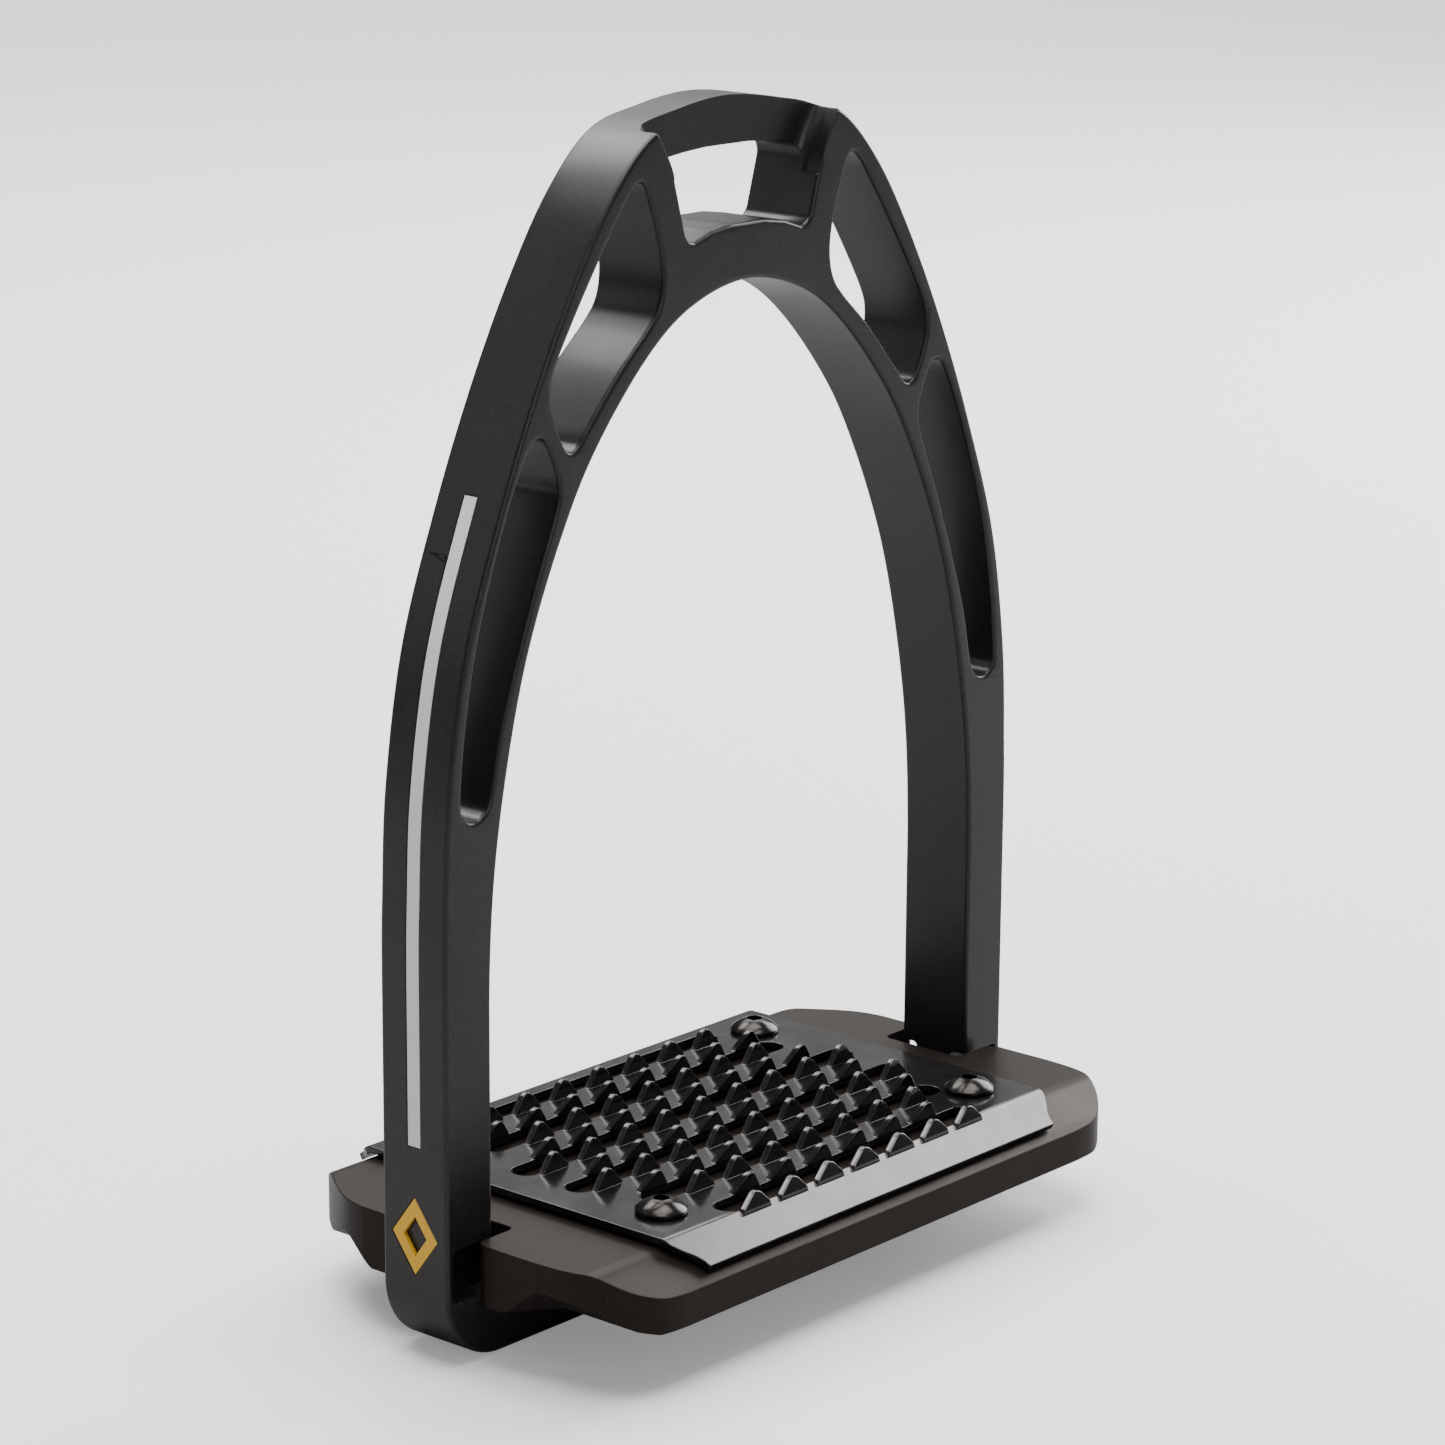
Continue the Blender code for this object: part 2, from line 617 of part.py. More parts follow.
def build_grip(parts, cutters):
    grip = side_solid("grip_plate", [grip_section()], -GRIP_HALF_WIDTH, GRIP_HALF_WIDTH, parts)
    low, high = GRIP_TOP - OVER, GRIP_TOP + OVER
    for index, (front, back, half) in enumerate(slot_bands()):
        width = back - front
        radius = width / 2 - SLOT_END_FLAT
        outline = rounded_rectangle(0, (front + back) / 2, 2 * half, width, radius, 5)
        boolean(grip, outline_solid(f"cut_slot_{index}", [outline], low, high, cutters))
    for side, hand in SIDES:
        for face, end in ENDS:
            boolean(grip, taper_cutter(side, face, f"cut_taper_{hand}_{end}", cutters))
    for index, (x, y) in enumerate(grip_screw_places()):
        radius = GRIP_SCREW_SHANK / 2 + GAP
        boolean(grip, cylinder(f"cut_hole_{index}", x, y, low, high, radius, cutters, 16))
    for index, (front, places) in enumerate(tooth_rows()):
        outlines = [tooth_outline(x) for x in places]
        low, high = front + TOOTH_INSET, front + SHEET - TOOTH_INSET
        teeth = outline_solid(f"teeth_{index}", outlines, low, high, cutters, upright=True)
        boolean(grip, teeth, "UNION")
    return finish(grip, new_material("grip_gloss_black", GLOSS_BLACK))


# Fasteners

def grip_screw_places():
    return [(sx * GRIP_SCREW_X, sy * GRIP_SCREW_Y) for sy in (-1, 1) for sx in (-1, 1)]


def turned(name, profile, collection, steps=24):
    """A solid of revolution about Z, from its profile at +X, top to bottom."""
    mesh = bpy.data.meshes.new(name)
    points = [(x * MM, 0, z * MM) for x, z in profile]
    mesh.from_pydata(points, [(i, i + 1) for i in range(len(points) - 1)], [])
    obj = bpy.data.objects.new(name, mesh)
    collection.objects.link(obj)
    spin = obj.modifiers.new("Turn", "SCREW")
    spin.steps = steps
    spin.render_steps = steps
    spin.use_merge_vertices = True
    spin.merge_threshold = 1e-6
    return obj


def button_profile():
    """A domed head that stands on z = 0, with its shank below."""
    radius, dome = BUTTON_DIAMETER / 2, BUTTON_HEIGHT - BUTTON_RIM
    shank, end = GRIP_SCREW_SHANK / 2, -GRIP_SCREW_LENGTH
    ball = (radius ** 2 + dome ** 2) / (2 * dome)
    steps = 6
    profile = []
    for step in range(steps + 1):
        x = radius * step / steps
        profile.append((x, BUTTON_HEIGHT - ball + math.sqrt(ball ** 2 - x ** 2)))
    profile += [(radius, 0), (shank, 0), (shank, end + SHANK_CHAMFER)]
    return profile + [(shank - SHANK_CHAMFER, end), (0, end)]


def cap_profile():
    """A socket head below z = 0 with its shank above, as it sits in the bottom bar."""
    head, shank = CAP_DIAMETER / 2, TREAD_SCREW_SHANK / 2
    return [
        (0, TREAD_SCREW_LENGTH), (shank - SHANK_CHAMFER, TREAD_SCREW_LENGTH),
        (shank, TREAD_SCREW_LENGTH - SHANK_CHAMFER), (shank, 0), (head, 0),
        (head, CAP_CHAMFER - CAP_HEIGHT), (head - CAP_CHAMFER, -CAP_HEIGHT), (0, -CAP_HEIGHT),
    ]


def build_screws(parts, cutters):
    button_look = new_material("screw_dark_steel", DARK_STEEL)
    cap_look = new_material("screw_black_steel", BLACK_STEEL)
    names = ("front_left", "front_right", "back_left", "back_right")
    seat = GRIP_TOP + GAP
    for name, (x, y) in zip(names, grip_screw_places()):
        screw = turned(f"grip_screw_{name}", button_profile(), parts)
        screw.location = (x * MM, y * MM, seat * MM)
        low, high = seat + BUTTON_HEIGHT - BUTTON_SOCKET, seat + BUTTON_HEIGHT + OVER
        corner = GRIP_KEY / math.sqrt(3)
        boolean(screw, cylinder(f"cut_key_{name}", x, y, low, high, corner, cutters, 6))
        finish(screw, button_look)
    for side, hand in SIDES:
        x = side * TREAD_SCREW_X
        screw = turned(f"tread_screw_{hand}", cap_profile(), parts)
        screw.location = (x * MM, 0, CAP_SEAT * MM)
        low = CAP_SEAT - CAP_HEIGHT
        corner = TREAD_KEY / math.sqrt(3)
        boolean(screw, cylinder(f"cut_socket_{hand}", x, 0, low - OVER, low + CAP_SOCKET, corner, cutters, 6))
        finish(screw, cap_look)


def main():
    clear_scene()
    parts = new_collection("stirrup_iron")
    cutters = new_collection("cutters", hidden=True)
    build_bow(parts, cutters)
    build_tread(parts, cutters)
    build_grip(parts, cutters)
    build_screws(parts, cutters)
    build_inlays(parts)


main()
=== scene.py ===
"""The stirrup iron's looks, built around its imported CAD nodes.

Lengths are in millimetres and are turned into metres as each object is made.
"""

import math
import random

import bmesh
import bpy
from mathutils import Matrix, Vector


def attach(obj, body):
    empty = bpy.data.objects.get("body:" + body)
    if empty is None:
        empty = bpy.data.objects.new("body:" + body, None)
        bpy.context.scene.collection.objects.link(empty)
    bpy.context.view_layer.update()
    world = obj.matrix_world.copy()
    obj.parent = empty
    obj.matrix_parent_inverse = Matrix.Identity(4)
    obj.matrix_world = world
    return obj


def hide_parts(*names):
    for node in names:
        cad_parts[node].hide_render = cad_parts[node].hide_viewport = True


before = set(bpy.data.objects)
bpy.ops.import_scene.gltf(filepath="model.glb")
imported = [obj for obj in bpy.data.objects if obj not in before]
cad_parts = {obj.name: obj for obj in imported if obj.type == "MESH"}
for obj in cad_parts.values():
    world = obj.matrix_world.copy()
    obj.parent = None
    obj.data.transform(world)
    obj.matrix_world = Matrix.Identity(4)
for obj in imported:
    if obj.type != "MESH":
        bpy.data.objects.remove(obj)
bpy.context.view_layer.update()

MM = 0.001
OVER = 3.0  # how far a cutting tool runs past the face it cuts
SLIVER = 0.1  # how far a tool's side keeps from a face it must not lie in
NEAR = 0.01  # how close a point is to a plane that it lies in
SHARP_ANGLE = 40
rng = random.Random(7)
SIDES = ((-1, "left"), (1, "right"))
ENDS = ((-1, "front"), (1, "back"))

# Bow
BOW_DEPTH = 14.0
BOW_EDGE = 0.7
INNER_HALF = 60.0
OUTER_HALF = 70.2
BAR_THICK = 10.0
BOW_HEIGHT = 192.1
OUTER_CORNER = 12.0
INNER_CORNER = 4.0
SHOULDER = [
    (12.0, 190.8), (22.9, 188.0), (32.4, 179.3), (41.1, 166.6), (49.8, 150.7),
    (57.9, 132.7), (65.1, 113.0), (68.9, 92.0), (69.95, 74.0),
]
ARM_STRAIGHT_TOP = 62.0
ARCH_TOP = 163.4
ARCH = [
    (13.5, 160.4), (24.3, 153.3), (35.9, 140.7), (43.6, 128.2), (50.8, 112.2), (55.5, 95.7), (58.8, 77.2),
]
ARCH_STRAIGHT_TOP = 58.0
STRAIGHT_RUN = 25.0  # how far below its top an arm's straight is sampled
UPPER_WINDOW = [
    (25.1, 180.9), (22.7, 175.8), (20.9, 170.0), (20.4, 165.4), (21.3, 161.4), (23.9, 158.2),
    (30.3, 152.5), (37.7, 144.6), (39.9, 142.1), (41.6, 141.5), (43.2, 142.9), (45.2, 147.2),
    (45.9, 151.4), (44.5, 155.6), (38.4, 165.2), (31.5, 175.0), (27.9, 179.6),
]
LOWER_SLOT = [
    (48.6, 144.4), (46.8, 143.0), (44.9, 139.2), (44.2, 136.4), (44.9, 132.6), (50.8, 118.6),
    (57.1, 101.4), (59.7, 90.8), (61.4, 88.0), (63.7, 87.4), (65.5, 88.6), (66.1, 91.4),
    (64.8, 102.9), (61.7, 116.9), (56.2, 132.2), (51.3, 142.2),
]
SLOT_FLOOR = 171.8
SLOT_FLOOR_CROWN = 0.7
SLOT_FLOOR_DIP = 1.2  # fall of the floor from its shoulders to its corners
SLOT_FLOOR_KNOTS = (9.0, 4.0)
SLOT_HALF_BOTTOM = 15.4
SLOT_HALF_TOP = 17.6
SLOT_ROOF_SIDE = 183.4
SLOT_ROOF_CROWN = 0.9
SLOT_ROOF_FLAT = 5.0  # half of the level middle of the roof
SLOT_ROOF_FALL = 0.35  # fall of the roof from its level middle to twice as far out
SLOT_CORNER = 2.6
SLOT_DRAFT = 8.0  # lean of the slot's side walls, in degrees
RECESS_WALL = [(17.3, 178.4), (18.2, 181.8), (19.6, 184.6), (21.5, 187.6), (23.4, 190.4), (26.0, 196.0)]
RECESS_DEPTH = 5.0
RECESS_FILLET = 2.4
POCKET_DEPTH = 3.4
POCKET_INNER = INNER_HALF - 4.0
POCKET_OUTER = 68.9
POCKET_BOTTOM = 10.6
POCKET_TOP = 19.5
POCKET_EDGE = 1.0
BORE_RADIUS = 2.8

# Inlays
INLAY_DEPTH = 0.8
INLAY_BED = 0.7  # depth of an inlay's back below the arm's face
TAPE_FACE = 0.06  # depth of the tape's face below the arm's face
EMBLEM_FACE = 0.04
STRIP_CLEARANCE = 0.15
GROOVE_OVER = 2.0  # how far the strip groove's tool runs past the arm's face
EMBLEM_CLEARANCE = (0.3, 0.4)
STRIP_WIDTH = 2.6
STRIP_BOTTOM = 35.4
STRIP_TOP = 136.0
EMBLEM_HEIGHT = 12.6
EMBLEM_WIDTH = 9.6
EMBLEM_HOLE = (5.0, 6.6)
EMBLEM_CENTRE = 20.7

# Tread
TREAD_BOTTOM = 10.3
TREAD_TOP = 20.3
TREAD_HALF_WIDTH = 65.5
TREAD_HALF_DEPTH = 39.2
FRONT_CORNER = [(56.6, -38.2), (61.6, -34.4), (64.6, -28.5)]
BACK_CORNER = [(64.2, 21.5), (60.6, 27.4), (56.2, 33.0), (51.8, 37.4)]
SIDE_FRONT_END = -21.0
SIDE_BACK_END = 16.0
SIDE_RUN = (8.0, 6.0)  # lead-in of the curves at the ends of the side, front and back
FRONT_EDGE_HALF = 50.0
BACK_EDGE_HALF = 45.0
EDGE_RUN = 12.0
NOTCH_INNER = 56.4
NOTCH_HALF = 8.3
NOTCH_CORNER = 1.5
NOTCH_MOUTH = 2.2
BEVEL_CREASE = 31.6
BEVEL_BLEND = [(-4.0, 0.4), (-1.4, 0.02), (1.2, -0.75)]  # out from the crease, and above the top
BEVEL_TAIL = (4.0, 2.0)  # where the slope heads beyond its end: outward, and down
BEVEL_END = 37.9
BEVEL_DROP = 3.7
LIP_DROP = 1.0
HULL_TOP = 15.8
HULL_LEAD = 1.0  # how far inside the lug the hull's cut begins
HULL_BLEND = 10.0
HULL_STEPS = 12
HULL_INSET = 11.6
HULL_UNDER = 0.6  # how far the hull's cut runs below the tread
HULL_CURVE = ((4.6, 1.95), (6.4, 0.95), (8.6, 0.30))  # how the hull's slope runs out under the tread
LUG_HALF = 13.5
LOWER_ROUND = 1.1
RIM_FROM = (40.0, 36.0)  # how far out the underside's rim starts, in X and in Y
TREAD_EDGE = 0.5
RELIEF_DEPTH = 6.4
RELIEF_CORNER = 3.0
RELIEF_SIZE = (18.0, 17.0)
RELIEF_X = (-22.5, 0.0, 22.5)
RELIEF_Y = 21.5

# Grip plate
SHEET = 1.2
GRIP_TOP = 22.1
GRIP_HALF_WIDTH = 48.2
GRIP_CREASE = 32.3
FLANGE_LENGTH = 7.2
FLANGE_SLOPE = 33.0
FLANGE_TAPER = 4.0
SHEET_EDGE = 0.12
SHEET_STRAIGHT = 20.0  # where the straight of the sheet's side is sampled
SHEET_CORNER = [(0.0, -0.5), (0.9, 2.2), (3.2, 5.0)]  # in from the side, and out from the crease
SHEET_TAIL = (0.4, 3.0)  # where the corner heads beyond its end: inward, and outward
BEND_RADIUS = 1.4
BEND_STEPS = 6
BEND_LENGTH = (BEND_RADIUS + SHEET) * math.radians(FLANGE_SLOPE)
STRIP_PITCH = 11.6
FIRST_STRIP = 21.7
STRIP_FRONT = 2.7
STRIP_BACK = 3.9
SLOT_WIDTH = STRIP_PITCH - STRIP_FRONT - STRIP_BACK
BACK_SLOT_WIDTH = 4.0
SLOT_END_FLAT = 0.2
TOOTH_PITCH = 9.1
TOOTH_BASE = 5.7
TEETH_EACH_WAY = 5
TOOTH_HEIGHT = 3.1
TOOTH_EDGE = 0.16
TOOTH_SUNK = 0.6  # share of the sheet's thickness that a tooth's foot reaches down
TOOTH_FOOT = [(4.2, 0.5), (3.5, 0.0)]  # half width, and depth below the foot
TOOTH_FLANK = [(3.05, 0.08), (2.10, 0.45), (0.95, 0.86)]  # half width, and share of the height
FRONT_TOOTH_LEAN = -0.2
BACK_TOOTH_LEAN = 1.0
LOW_TOOTH_HEIGHT = 2.0
LOW_TOOTH_LEAN = -1.1
LOW_TOOTH_SKEW = 0.55  # how far a low tooth leans along X for each millimetre it rises
SHORT_SLOT = 32.6
MIDDLE_SLOT = 37.0
LONG_SLOT = 42.0
SCREW_HOLE_RADIUS = 2.3

# Fasteners
GRIP_SCREW_X = 39.4
GRIP_SCREW_Y = 23.9
BUTTON_DIAMETER = 8.4
BUTTON_HEIGHT = 2.3
BUTTON_RIM = 0.45
BUTTON_SEAT = 0.3  # clearance under a button head
BUTTON_SOCKET = 1.6
BUTTON_SHANK = 2.0
BUTTON_LENGTH = 8.0
BUTTON_KEY = 2.5
SHANK_CHAMFER = 0.4
TREAD_SCREW_X = 30.0
CAP_DIAMETER = 8.5
CAP_SEAT = 5.4
CAP_HEIGHT = 5.0
CAP_CLEARANCE = (0.4, 0.3)  # round the head, and over it
CAP_SHANK = 2.5
CAP_LENGTH = 12.0
CAP_SOCKET = 2.6
CAP_KEY = 4.0
CAP_CHAMFER = 0.5

# Coatings: dark and light of the speckle, and the tint of the sheen
BOW_COAT = ((0.0080, 0.0070, 0.0066), (0.0190, 0.0166, 0.0155), (1.0, 0.96, 0.94))
TREAD_COAT = ((0.0115, 0.0086, 0.0072), (0.0190, 0.0141, 0.0118), (1.0, 0.88, 0.80))

# Stage, in metres and watts: name, place, aim, size and power of each light
LIGHTS = [
    ("top_back", (0.10, 1.05, 1.38), (0, 0, 0.12), (0.7, 0.55), 11),
    ("right", (1.35, -0.05, 0.78), (0, 0, 0.03), (0.8, 0.98), 25),
    ("low_back", (1.15, 0.90, 0.50), (0, 0, 0.03), (0.7, 0.6), 0.5),
    ("overhead", (0.0, 0.0, 2.0), (0, 0, 0), (1.6, 1.6), 50),
    ("backdrop", (2.2, 1.9, 2.4), (2.2, 1.9, 0), (2.4, 2.4), 75),
    ("left_back", (-1.35, 1.35, 0.85), (0, 0, 0.12), (1.3, 1.1), 2.5),
    ("front", (-0.7, -1.6, 0.8), (0, 0, 0.08), (0.9, 0.9), 5),
]
WORLD_LIGHT = 0.13
FLOOR_SIZE = 12.0
FLOOR_DROP = 0.0002
FLOOR_SEEN = 0.97
FLOOR_BOUNCE = 0.38
FLOOR_GLOW = 0.25
CAMERA_PLACE = (-550.42, -474.56, 276.88)
CAMERA_AIM = (1.0, -1.17, 89.85)
CAMERA_ROLL = 0.41
CAMERA_SENSOR = 36.0
CAMERA_LENS = 114.74


# Points and outlines

def smooth(knots, steps, closed=False):
    """Points of a Catmull-Rom curve through the knots, with the given steps between two knots."""
    count = len(knots)
    spans = count if closed else count - 1
    points = []
    for span in range(spans):
        if closed:
            a, b, c, d = (Vector(knots[(span + k) % count]) for k in (-1, 0, 1, 2))
        else:
            b, c = Vector(knots[span]), Vector(knots[span + 1])
            a = Vector(knots[span - 1]) if span else b * 2 - c
            d = Vector(knots[span + 2]) if span + 2 < count else c * 2 - b
        for step in range(steps):
            t = step / steps
            points.append(
                b + (c - a) * (t / 2)
                + (a * 2 - b * 5 + c * 4 - d) * (t * t / 2)
                + (b * 3 - a - c * 3 + d) * (t ** 3 / 2)
            )
    if not closed:
        points.append(Vector(knots[-1]))
    return points


def arc(centre, radius, start, end, steps):
    """Points of a circular arc, with its angles in degrees."""
    turn = (math.radians(start + (end - start) * step / steps) for step in range(steps + 1))
    x, y = centre
    return [Vector((x + radius * math.cos(a), y + radius * math.sin(a))) for a in turn]


def flipped(points):
    return [Vector((-p.x, p.y)) for p in points]


def mirrored(points):
    """The points of a right-hand half, followed by their mirror image back to the start."""
    return points + [p for p in flipped(reversed(points)) if abs(p.x) > 1e-6]


def rounded_rectangle(x, y, width, height, radius, steps=8):
    corners = [(1, 1, 0), (-1, 1, 90), (-1, -1, 180), (1, -1, 270)]
    points = []
    for sx, sy, start in corners:
        centre = (x + sx * (width / 2 - radius), y + sy * (height / 2 - radius))
        points += arc(centre, radius, start, start + 90, steps)
    return points


def bow_flank():
    """The right-hand outer line of the bow from its top down to the straight of the arm."""
    top = [(-SHOULDER[0][0], SHOULDER[0][1]), (0, BOW_HEIGHT)]
    straight = [(OUTER_HALF, ARM_STRAIGHT_TOP), (OUTER_HALF, ARM_STRAIGHT_TOP - STRAIGHT_RUN)]
    knots = top + SHOULDER + straight
    steps = 14
    return smooth(knots, steps)[steps:-steps]


def bow_outer():
    corner = arc((OUTER_HALF - OUTER_CORNER, OUTER_CORNER), OUTER_CORNER, 0, -90, 24)
    return mirrored(bow_flank() + corner)


def bow_inner():
    top = [(-ARCH[0][0], ARCH[0][1]), (0, ARCH_TOP)]
    straight = [(INNER_HALF, ARCH_STRAIGHT_TOP), (INNER_HALF, ARCH_STRAIGHT_TOP - STRAIGHT_RUN)]
    knots = top + ARCH + straight
    steps = 16
    line = smooth(knots, steps)[steps:-steps]
    centre = (INNER_HALF - INNER_CORNER, BAR_THICK + INNER_CORNER)
    return mirrored(line + arc(centre, INNER_CORNER, 0, -90, 10))


def leather_slot():
    """A slot that widens upwards, with a crowned floor and a crowned roof."""
    floor = (SLOT_HALF_BOTTOM - SLOT_CORNER, SLOT_FLOOR + SLOT_CORNER - SLOT_FLOOR_DIP)
    roof = (SLOT_HALF_TOP - SLOT_CORNER, SLOT_ROOF_SIDE - SLOT_CORNER)
    crown = SLOT_ROOF_SIDE + SLOT_ROOF_CROWN
    falling = (SLOT_ROOF_FLAT * 2, crown - SLOT_ROOF_FALL)
    half = smooth([(SLOT_ROOF_FLAT, crown), falling, (roof[0], SLOT_ROOF_SIDE)], 6)[:-1]
    half += arc(roof, SLOT_CORNER, 90, -SLOT_DRAFT, 12)
    half += arc(floor, SLOT_CORNER, -SLOT_DRAFT, -90, 12)
    far, near = SLOT_FLOOR_KNOTS
    half += smooth([(far, SLOT_FLOOR), (near, SLOT_FLOOR + SLOT_FLOOR_CROWN)], 6)
    return mirrored(half)


# Materials

def shader_of(name, slot_colour, roughness, metallic):
    material = bpy.data.materials.new(name)
    material.use_nodes = True
    shader = material.node_tree.nodes["Principled BSDF"]
    shader.inputs["Base Color"].default_value = (*slot_colour, 1.0)
    shader.inputs["Roughness"].default_value = roughness
    shader.inputs["Metallic"].default_value = metallic
    return material, material.node_tree, shader


def ramp(tree, source, low, high, start, end):
    """A value that runs from low to high as the source runs from start to end."""
    node = tree.nodes.new("ShaderNodeMapRange")
    tree.links.new(source, node.inputs["Value"])
    node.inputs["From Min"].default_value = start
    node.inputs["From Max"].default_value = end
    node.inputs["To Min"].default_value = low
    node.inputs["To Max"].default_value = high
    return node.outputs["Result"]


def noise(tree, scale, detail):
    place = tree.nodes.new("ShaderNodeTexCoord")
    node = tree.nodes.new("ShaderNodeTexNoise")
    node.inputs["Scale"].default_value = scale
    node.inputs["Detail"].default_value = detail
    tree.links.new(place.outputs["Object"], node.inputs["Vector"])
    return node.outputs["Fac"]


def tint(tree, shader, factor, dark, light):
    mix = tree.nodes.new("ShaderNodeMix")
    mix.data_type = "RGBA"
    mix.inputs["A"].default_value = (*dark, 1.0)
    mix.inputs["B"].default_value = (*light, 1.0)
    tree.links.new(factor, mix.inputs["Factor"])
    tree.links.new(mix.outputs["Result"], shader.inputs["Base Color"])


def grain(tree, shader, height, strength, distance, edge=0.0):
    """A fine bump, over edges that read as rounded by the given radius in millimetres."""
    bump = tree.nodes.new("ShaderNodeBump")
    bump.inputs["Strength"].default_value = strength
    bump.inputs["Distance"].default_value = distance * MM
    tree.links.new(height, bump.inputs["Height"])
    if edge:
        bevel = tree.nodes.new("ShaderNodeBevel")
        bevel.samples = 6
        bevel.inputs["Radius"].default_value = edge * MM
        tree.links.new(bevel.outputs["Normal"], bump.inputs["Normal"])
    tree.links.new(bump.outputs["Normal"], shader.inputs["Normal"])


def bead_blasted(name, coat, roughness, edge, speckle, gloss):
    """A fine blasted coating whose sheen has the tint of the metal under it."""
    dark, light, sheen = coat
    material, tree, shader = shader_of(name, dark, roughness, 0.0)
    fine = noise(tree, speckle, 2.0)
    broad = noise(tree, 60.0, 4.0)
    tint(tree, shader, ramp(tree, fine, 0.0, 1.0, 0.35, 0.70), dark, light)
    uneven = ramp(tree, broad, roughness - 0.04, roughness + 0.05, 0.3, 0.7)
    tree.links.new(uneven, shader.inputs["Roughness"])
    shader.inputs["Specular IOR Level"].default_value = gloss
    shader.inputs["Specular Tint"].default_value = (*sheen, 1.0)
    grain(tree, shader, fine, 0.12, 0.02, edge)
    return material


def black_nickel(name, colour, roughness):
    """A dark plated metal with faint patches."""
    material, tree, shader = shader_of(name, colour, roughness, 0.9)
    broad = noise(tree, 150.0, 3.0)
    tint(tree, shader, ramp(tree, broad, 0.0, 1.0, 0.3, 0.7), colour, tuple(c * 1.4 for c in colour))
    uneven = ramp(tree, broad, roughness * 0.85, roughness * 1.2, 0.3, 0.7)
    tree.links.new(uneven, shader.inputs["Roughness"])
    grain(tree, shader, broad, 0.10, 0.05, 0.15)
    return material


def speckled(name, colour, dark, light, roughness, metallic, scale, detail, spread, bump, edge=0.0):
    """A finish whose colour runs between two shades at the scale of its speckle."""
    material, tree, shader = shader_of(name, colour, roughness, metallic)
    fine = noise(tree, scale, detail)
    tint(tree, shader, ramp(tree, fine, 0.0, 1.0, *spread), dark, light)
    grain(tree, shader, fine, bump, 0.02, edge)
    return material


# Objects

def link(obj):
    bpy.context.scene.collection.objects.link(obj)
    return obj


def outline_solid(name, outlines, low, high, upright=False, edge=0.0, rounds=3):
    """A flat outline with its holes, filled from low to high: along Z, or along Y if upright."""
    curve = bpy.data.curves.new(name, "CURVE")
    curve.dimensions = "2D"
    curve.fill_mode = "BOTH"
    for points in outlines:
        spline = curve.splines.new("POLY")
        spline.points.add(len(points) - 1)
        spline.use_cyclic_u = True
        for target, point in zip(spline.points, points):
            target.co = (point[0] * MM, point[1] * MM, 0, 1)
    curve.extrude = ((high - low) / 2 - edge) * MM
    if edge:
        curve.bevel_depth = edge * MM
        curve.bevel_resolution = rounds
        curve.offset = -edge * MM
    obj = link(bpy.data.objects.new(name, curve))
    middle = (low + high) / 2 * MM
    place = Matrix.Translation((0, 0, middle))
    if upright:
        place = Matrix.Translation((0, middle, 0)) @ Matrix.Rotation(math.pi / 2, 4, "X")
    bpy.context.view_layer.update()
    mesh = bpy.data.meshes.new_from_object(obj.evaluated_get(bpy.context.evaluated_depsgraph_get()))
    bpy.data.objects.remove(obj, do_unlink=True)
    bpy.data.curves.remove(curve)
    mesh.transform(place)
    work = bmesh.new()
    work.from_mesh(mesh)
    bmesh.ops.remove_doubles(work, verts=work.verts, dist=1e-6)
    bmesh.ops.recalc_face_normals(work, faces=work.faces)
    work.to_mesh(mesh)
    work.free()
    return link(bpy.data.objects.new(name, mesh))


def side_solid(name, outlines, low, high):
    """Outlines in Y and Z, filled along X."""
    obj = outline_solid(name, outlines, low, high)
    obj.data.transform(Matrix.Rotation(math.pi / 2, 4, "Z") @ Matrix.Rotation(math.pi / 2, 4, "X"))
    return obj


def box(name, low, high):
    bpy.ops.mesh.primitive_cube_add(size=1)
    obj = bpy.context.object
    obj.name = name
    size = [(b - a) * MM for a, b in zip(low, high)]
    middle = [(b + a) / 2 * MM for a, b in zip(low, high)]
    obj.data.transform(Matrix.Translation(middle) @ Matrix.Diagonal((*size, 1)))
    return obj


def cylinder(name, x, y, low, high, radius, sides=48):
    bpy.ops.mesh.primitive_cylinder_add(vertices=sides, radius=radius * MM, depth=(high - low) * MM)
    obj = bpy.context.object
    obj.name = name
    obj.data.transform(Matrix.Translation((x * MM, y * MM, (low + high) / 2 * MM)))
    return obj


def hexagon(name, low, high, across_flats):
    return cylinder(name, 0, 0, low, high, across_flats / math.sqrt(3), 6)


def edge_bevel(obj, width, segments, angle=30):
    modifier = obj.modifiers.new("Edges", "BEVEL")
    modifier.width = width * MM
    modifier.segments = segments
    modifier.limit_method = "ANGLE"
    modifier.angle_limit = math.radians(angle)


def apply_modifiers(obj):
    bpy.context.view_layer.update()
    mesh = bpy.data.meshes.new_from_object(obj.evaluated_get(bpy.context.evaluated_depsgraph_get()))
    obj.modifiers.clear()
    obj.data = mesh
    return obj


def cut(obj, cutters):
    """Cuts the tools out of the object and removes them."""
    for cutter in cutters:
        apply_modifiers(cutter)
        modifier = obj.modifiers.new(cutter.name, "BOOLEAN")
        modifier.operation = "DIFFERENCE"
        modifier.solver = "EXACT"
        modifier.object = cutter
    apply_modifiers(obj)
    for cutter in cutters:
        bpy.data.objects.remove(cutter, do_unlink=True)


def dress(obj, material, node):
    """Gives an object its material and its shading, hangs it under the root body and hides the CAD node that
    it stands for.
    """
    obj.data.materials.append(material)
    obj.data.shade_smooth()
    obj.data.set_sharp_from_angle(angle=math.radians(SHARP_ANGLE))
    normals = obj.modifiers.new("Normals", "WEIGHTED_NORMAL")
    normals.mode = "FACE_AREA"
    normals.weight = 100
    normals.keep_sharp = True
    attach(obj, "root")
    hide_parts(node)


# Bow

